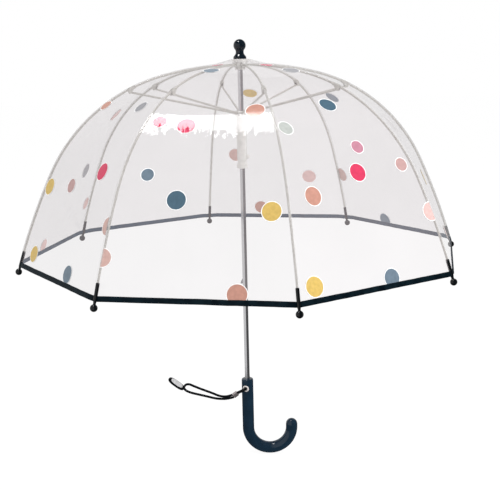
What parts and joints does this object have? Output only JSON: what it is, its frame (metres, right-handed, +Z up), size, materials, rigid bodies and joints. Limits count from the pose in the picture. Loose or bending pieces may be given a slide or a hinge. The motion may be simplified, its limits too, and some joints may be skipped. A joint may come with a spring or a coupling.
{
  "type": "clear dome umbrella",
  "caption": "Clear dome umbrella, open, with printed round dots, dark hem binding, curved ribs, runner, ball finial, hooked handle and closing strap.",
  "frame": {"origin": "on the shaft's axis in the middle of the hand grip", "axes": "+Z up the shaft towards the finial; +X towards the side on which the hook of the handle opens"},
  "size_m": [0.6882, 0.6882, 0.6635],
  "materials": {
    "film": "clear glossy film with printed dots",
    "film_dots": "printed ink in several colours",
    "hem_binding": "woven tape",
    "rib_rod": "white glass-fibre rod",
    "tip_plastic": "glossy moulded",
    "runner_plastic": "translucent moulded",
    "shaft_metal": "polished",
    "small_metal": "polished",
    "handle_plastic": "glossy moulded",
    "strap_webbing": "woven",
    "strap_pad": "hook-and-loop pad"
  },
  "bodies": {
    "root": {"shaft": "shaft_metal", "crown": "runner_plastic", "finial": "tip_plastic", "handle": "handle_plastic", "eyelet": "small_metal", "strap_tab": "strap_webbing", "strap_crimp": "small_metal", "strap_loop": "strap_webbing", "strap_pad": "strap_pad"},
    "runner": {"runner": "runner_plastic"},
    "top_catch": {"top_catch": "small_metal"},
    "bottom_catch": {"bottom_catch": "small_metal"},
    "rib_1_upper": {"rib_1_upper": "rib_rod"},
    "rib_1_lower": {"rib_1_lower": "rib_rod", "rib_tip_1": "tip_plastic"},
    "stretcher_1": {"stretcher_1": "rib_rod"},
    "gore_1_upper": {"gore_1": "film"},
    "gore_1_lower": {"hem_1": "hem_binding"},
    "rib_2_upper": {"rib_2_upper": "rib_rod"},
    "rib_2_lower": {"rib_2_lower": "rib_rod", "rib_tip_2": "tip_plastic"},
    "stretcher_2": {"stretcher_2": "rib_rod"},
    "gore_2_upper": {"gore_2": "film"},
    "gore_2_lower": {"hem_2": "hem_binding"},
    "rib_3_upper": {"rib_3_upper": "rib_rod"},
    "rib_3_lower": {"rib_3_lower": "rib_rod", "rib_tip_3": "tip_plastic"},
    "stretcher_3": {"stretcher_3": "rib_rod"},
    "gore_3_upper": {"gore_3": "film"},
    "gore_3_lower": {"hem_3": "hem_binding"},
    "rib_4_upper": {"rib_4_upper": "rib_rod"},
    "rib_4_lower": {"rib_4_lower": "rib_rod", "rib_tip_4": "tip_plastic"},
    "stretcher_4": {"stretcher_4": "rib_rod"},
    "gore_4_upper": {"gore_4": "film"},
    "gore_4_lower": {"hem_4": "hem_binding"},
    "rib_5_upper": {"rib_5_upper": "rib_rod"},
    "rib_5_lower": {"rib_5_lower": "rib_rod", "rib_tip_5": "tip_plastic"},
    "stretcher_5": {"stretcher_5": "rib_rod"},
    "gore_5_upper": {"gore_5": "film"},
    "gore_5_lower": {"hem_5": "hem_binding"},
    "rib_6_upper": {"rib_6_upper": "rib_rod"},
    "rib_6_lower": {"rib_6_lower": "rib_rod", "rib_tip_6": "tip_plastic"},
    "stretcher_6": {"stretcher_6": "rib_rod"},
    "gore_6_upper": {"gore_6": "film"},
    "gore_6_lower": {"hem_6": "hem_binding"},
    "rib_7_upper": {"rib_7_upper": "rib_rod"},
    "rib_7_lower": {"rib_7_lower": "rib_rod", "rib_tip_7": "tip_plastic"},
    "stretcher_7": {"stretcher_7": "rib_rod"},
    "gore_7_upper": {"gore_7": "film"},
    "gore_7_lower": {"hem_7": "hem_binding"},
    "rib_8_upper": {"rib_8_upper": "rib_rod"},
    "rib_8_lower": {"rib_8_lower": "rib_rod", "rib_tip_8": "tip_plastic"},
    "stretcher_8": {"stretcher_8": "rib_rod"},
    "gore_8_upper": {"gore_8": "film"},
    "gore_8_lower": {"hem_8": "hem_binding"}
  },
  "joints": [
    {"name": "fold", "type": "hinge", "parent": "root", "child": "rib_1_upper", "pos_m": [-0.00784, -0.00157, 0.538], "axis": [0.1959, -0.9806, 0], "range_deg": [0, 72], "deforming": ["gore_1", "gore_2", "gore_3", "gore_4", "gore_5", "gore_6", "gore_7", "gore_8", "hem_1", "hem_2", "hem_3", "hem_4", "hem_5", "hem_6", "hem_7", "hem_8", "top_catch", "bottom_catch"]},
    {"name": "rib_1_flex", "type": "hinge", "parent": "rib_1_upper", "child": "rib_1_lower", "pos_m": [-0.16562, -0.03309, 0.50538], "axis": [0.1959, -0.9806, 0], "range_deg": [-36.86, 0]},
    {"name": "stretcher_1_pivot", "type": "hinge", "parent": "rib_1_upper", "child": "stretcher_1", "pos_m": [-0.16389, -0.03275, 0.5018], "axis": [0.1959, -0.9806, 0], "range_deg": [-144, 0]},
    {"name": "runner_pivot", "type": "hinge", "parent": "stretcher_1", "child": "runner", "pos_m": [-0.00784, -0.00157, 0.46559], "axis": [0.1959, -0.9806, 0], "range_deg": [0, 72]},
    {"name": "gore_1_fold", "type": "hinge", "parent": "root", "child": "gore_1_upper", "pos_m": [-0.00614, -0.00411, 0.538], "axis": [0.5563, -0.831, 0], "range_deg": [0, 72]},
    {"name": "gore_1_flex", "type": "hinge", "parent": "gore_1_upper", "child": "gore_1_lower", "pos_m": [-0.1308, -0.08756, 0.50794], "axis": [0.5563, -0.831, 0], "range_deg": [-40, 0]},
    {"name": "rib_2_fold", "type": "hinge", "parent": "root", "child": "rib_2_upper", "pos_m": [-0.00444, -0.00666, 0.538], "axis": [0.832, -0.5548, 0], "range_deg": [0, 72]},
    {"name": "rib_2_flex", "type": "hinge", "parent": "rib_2_upper", "child": "rib_2_lower", "pos_m": [-0.09371, -0.14051, 0.50538], "axis": [0.832, -0.5548, 0], "range_deg": [-36.86, 0]},
    {"name": "stretcher_2_pivot", "type": "hinge", "parent": "rib_2_upper", "child": "stretcher_2", "pos_m": [-0.09273, -0.13904, 0.5018], "axis": [0.832, -0.5548, 0], "range_deg": [-144, 0]},
    {"name": "gore_2_fold", "type": "hinge", "parent": "root", "child": "gore_2_upper", "pos_m": [-0.00144, -0.00725, 0.538], "axis": [0.981, -0.1942, 0], "range_deg": [0, 72]},
    {"name": "gore_2_flex", "type": "hinge", "parent": "gore_2_upper", "child": "gore_2_lower", "pos_m": [-0.03057, -0.1544, 0.50794], "axis": [0.981, -0.1942, 0], "range_deg": [-40, 0]},
    {"name": "rib_3_fold", "type": "hinge", "parent": "root", "child": "rib_3_upper", "pos_m": [0.00157, -0.00784, 0.538], "axis": [0.9806, 0.1959, 0], "range_deg": [0, 72]},
    {"name": "rib_3_flex", "type": "hinge", "parent": "rib_3_upper", "child": "rib_3_lower", "pos_m": [0.03309, -0.16562, 0.50538], "axis": [0.9806, 0.1959, 0], "range_deg": [-36.86, 0]},
    {"name": "stretcher_3_pivot", "type": "hinge", "parent": "rib_3_upper", "child": "stretcher_3", "pos_m": [0.03275, -0.16389, 0.5018], "axis": [0.9806, 0.1959, 0], "range_deg": [-144, 0]},
    {"name": "gore_3_fold", "type": "hinge", "parent": "root", "child": "gore_3_upper", "pos_m": [0.00411, -0.00614, 0.538], "axis": [0.831, 0.5563, 0], "range_deg": [0, 72]},
    {"name": "gore_3_flex", "type": "hinge", "parent": "gore_3_upper", "child": "gore_3_lower", "pos_m": [0.08756, -0.1308, 0.50794], "axis": [0.831, 0.5563, 0], "range_deg": [-40, 0]},
    {"name": "rib_4_fold", "type": "hinge", "parent": "root", "child": "rib_4_upper", "pos_m": [0.00666, -0.00444, 0.538], "axis": [0.5548, 0.832, 0], "range_deg": [0, 72]},
    {"name": "rib_4_flex", "type": "hinge", "parent": "rib_4_upper", "child": "rib_4_lower", "pos_m": [0.14051, -0.09371, 0.50538], "axis": [0.5548, 0.832, 0], "range_deg": [-36.86, 0]},
    {"name": "stretcher_4_pivot", "type": "hinge", "parent": "rib_4_upper", "child": "stretcher_4", "pos_m": [0.13904, -0.09273, 0.5018], "axis": [0.5548, 0.832, 0], "range_deg": [-144, 0]},
    {"name": "gore_4_fold", "type": "hinge", "parent": "root", "child": "gore_4_upper", "pos_m": [0.00725, -0.00144, 0.538], "axis": [0.1942, 0.981, 0], "range_deg": [0, 72]},
    {"name": "gore_4_flex", "type": "hinge", "parent": "gore_4_upper", "child": "gore_4_lower", "pos_m": [0.1544, -0.03057, 0.50794], "axis": [0.1942, 0.981, 0], "range_deg": [-40, 0]},
    {"name": "rib_5_fold", "type": "hinge", "parent": "root", "child": "rib_5_upper", "pos_m": [0.00784, 0.00157, 0.538], "axis": [-0.1959, 0.9806, 0], "range_deg": [0, 72]},
    {"name": "rib_5_flex", "type": "hinge", "parent": "rib_5_upper", "child": "rib_5_lower", "pos_m": [0.16562, 0.03309, 0.50538], "axis": [-0.1959, 0.9806, 0], "range_deg": [-36.86, 0]},
    {"name": "stretcher_5_pivot", "type": "hinge", "parent": "rib_5_upper", "child": "stretcher_5", "pos_m": [0.16389, 0.03275, 0.5018], "axis": [-0.1959, 0.9806, 0], "range_deg": [-144, 0]},
    {"name": "gore_5_fold", "type": "hinge", "parent": "root", "child": "gore_5_upper", "pos_m": [0.00614, 0.00411, 0.538], "axis": [-0.5563, 0.831, 0], "range_deg": [0, 72]},
    {"name": "gore_5_flex", "type": "hinge", "parent": "gore_5_upper", "child": "gore_5_lower", "pos_m": [0.1308, 0.08756, 0.50794], "axis": [-0.5563, 0.831, 0], "range_deg": [-40, 0]},
    {"name": "rib_6_fold", "type": "hinge", "parent": "root", "child": "rib_6_upper", "pos_m": [0.00444, 0.00666, 0.538], "axis": [-0.832, 0.5548, 0], "range_deg": [0, 72]},
    {"name": "rib_6_flex", "type": "hinge", "parent": "rib_6_upper", "child": "rib_6_lower", "pos_m": [0.09371, 0.14051, 0.50538], "axis": [-0.832, 0.5548, 0], "range_deg": [-36.86, 0]},
    {"name": "stretcher_6_pivot", "type": "hinge", "parent": "rib_6_upper", "child": "stretcher_6", "pos_m": [0.09273, 0.13904, 0.5018], "axis": [-0.832, 0.5548, 0], "range_deg": [-144, 0]},
    {"name": "gore_6_fold", "type": "hinge", "parent": "root", "child": "gore_6_upper", "pos_m": [0.00144, 0.00725, 0.538], "axis": [-0.981, 0.1942, 0], "range_deg": [0, 72]},
    {"name": "gore_6_flex", "type": "hinge", "parent": "gore_6_upper", "child": "gore_6_lower", "pos_m": [0.03057, 0.1544, 0.50794], "axis": [-0.981, 0.1942, 0], "range_deg": [-40, 0]},
    {"name": "rib_7_fold", "type": "hinge", "parent": "root", "child": "rib_7_upper", "pos_m": [-0.00157, 0.00784, 0.538], "axis": [-0.9806, -0.1959, 0], "range_deg": [0, 72]},
    {"name": "rib_7_flex", "type": "hinge", "parent": "rib_7_upper", "child": "rib_7_lower", "pos_m": [-0.03309, 0.16562, 0.50538], "axis": [-0.9806, -0.1959, 0], "range_deg": [-36.86, 0]},
    {"name": "stretcher_7_pivot", "type": "hinge", "parent": "rib_7_upper", "child": "stretcher_7", "pos_m": [-0.03275, 0.16389, 0.5018], "axis": [-0.9806, -0.1959, 0], "range_deg": [-144, 0]},
    {"name": "gore_7_fold", "type": "hinge", "parent": "root", "child": "gore_7_upper", "pos_m": [-0.00411, 0.00614, 0.538], "axis": [-0.831, -0.5563, 0], "range_deg": [0, 72]},
    {"name": "gore_7_flex", "type": "hinge", "parent": "gore_7_upper", "child": "gore_7_lower", "pos_m": [-0.08756, 0.1308, 0.50794], "axis": [-0.831, -0.5563, 0], "range_deg": [-40, 0]},
    {"name": "rib_8_fold", "type": "hinge", "parent": "root", "child": "rib_8_upper", "pos_m": [-0.00666, 0.00444, 0.538], "axis": [-0.5548, -0.832, 0], "range_deg": [0, 72]},
    {"name": "rib_8_flex", "type": "hinge", "parent": "rib_8_upper", "child": "rib_8_lower", "pos_m": [-0.14051, 0.09371, 0.50538], "axis": [-0.5548, -0.832, 0], "range_deg": [-36.86, 0]},
    {"name": "stretcher_8_pivot", "type": "hinge", "parent": "rib_8_upper", "child": "stretcher_8", "pos_m": [-0.13904, 0.09273, 0.5018], "axis": [-0.5548, -0.832, 0], "range_deg": [-144, 0]},
    {"name": "gore_8_fold", "type": "hinge", "parent": "root", "child": "gore_8_upper", "pos_m": [-0.00725, 0.00144, 0.538], "axis": [-0.1942, -0.981, 0], "range_deg": [0, 72]},
    {"name": "gore_8_flex", "type": "hinge", "parent": "gore_8_upper", "child": "gore_8_lower", "pos_m": [-0.1544, 0.03057, 0.50794], "axis": [-0.1942, -0.981, 0], "range_deg": [-40, 0]},
    {"name": "top_catch_press", "type": "slide", "parent": "root", "child": "top_catch", "axis": [1, 0, 0], "range_m": [0, 0.0028], "stiffness_N_per_m": 400, "springref_m": -0.002},
    {"name": "bottom_catch_press", "type": "slide", "parent": "root", "child": "bottom_catch", "axis": [1, 0, 0], "range_m": [0, 0.0028], "stiffness_N_per_m": 400, "springref_m": -0.002}
  ],
  "couplings": [
    {"joint": "rib_1_flex", "follows": "fold", "ratio": -0.512},
    {"joint": "stretcher_1_pivot", "follows": "fold", "ratio": -2},
    {"joint": "runner_pivot", "follows": "fold", "ratio": 1},
    {"joint": "gore_1_fold", "follows": "fold", "ratio": 1},
    {"joint": "gore_1_flex", "follows": "fold", "ratio": -0.55},
    {"joint": "rib_2_fold", "follows": "fold", "ratio": 1},
    {"joint": "rib_2_flex", "follows": "fold", "ratio": -0.512},
    {"joint": "stretcher_2_pivot", "follows": "fold", "ratio": -2},
    {"joint": "gore_2_fold", "follows": "fold", "ratio": 1},
    {"joint": "gore_2_flex", "follows": "fold", "ratio": -0.55},
    {"joint": "rib_3_fold", "follows": "fold", "ratio": 1},
    {"joint": "rib_3_flex", "follows": "fold", "ratio": -0.512},
    {"joint": "stretcher_3_pivot", "follows": "fold", "ratio": -2},
    {"joint": "gore_3_fold", "follows": "fold", "ratio": 1},
    {"joint": "gore_3_flex", "follows": "fold", "ratio": -0.55},
    {"joint": "rib_4_fold", "follows": "fold", "ratio": 1},
    {"joint": "rib_4_flex", "follows": "fold", "ratio": -0.512},
    {"joint": "stretcher_4_pivot", "follows": "fold", "ratio": -2},
    {"joint": "gore_4_fold", "follows": "fold", "ratio": 1},
    {"joint": "gore_4_flex", "follows": "fold", "ratio": -0.55},
    {"joint": "rib_5_fold", "follows": "fold", "ratio": 1},
    {"joint": "rib_5_flex", "follows": "fold", "ratio": -0.512},
    {"joint": "stretcher_5_pivot", "follows": "fold", "ratio": -2},
    {"joint": "gore_5_fold", "follows": "fold", "ratio": 1},
    {"joint": "gore_5_flex", "follows": "fold", "ratio": -0.55},
    {"joint": "rib_6_fold", "follows": "fold", "ratio": 1},
    {"joint": "rib_6_flex", "follows": "fold", "ratio": -0.512},
    {"joint": "stretcher_6_pivot", "follows": "fold", "ratio": -2},
    {"joint": "gore_6_fold", "follows": "fold", "ratio": 1},
    {"joint": "gore_6_flex", "follows": "fold", "ratio": -0.55},
    {"joint": "rib_7_fold", "follows": "fold", "ratio": 1},
    {"joint": "rib_7_flex", "follows": "fold", "ratio": -0.512},
    {"joint": "stretcher_7_pivot", "follows": "fold", "ratio": -2},
    {"joint": "gore_7_fold", "follows": "fold", "ratio": 1},
    {"joint": "gore_7_flex", "follows": "fold", "ratio": -0.55},
    {"joint": "rib_8_fold", "follows": "fold", "ratio": 1},
    {"joint": "rib_8_flex", "follows": "fold", "ratio": -0.512},
    {"joint": "stretcher_8_pivot", "follows": "fold", "ratio": -2},
    {"joint": "gore_8_fold", "follows": "fold", "ratio": 1},
    {"joint": "gore_8_flex", "follows": "fold", "ratio": -0.55}
  ]
}
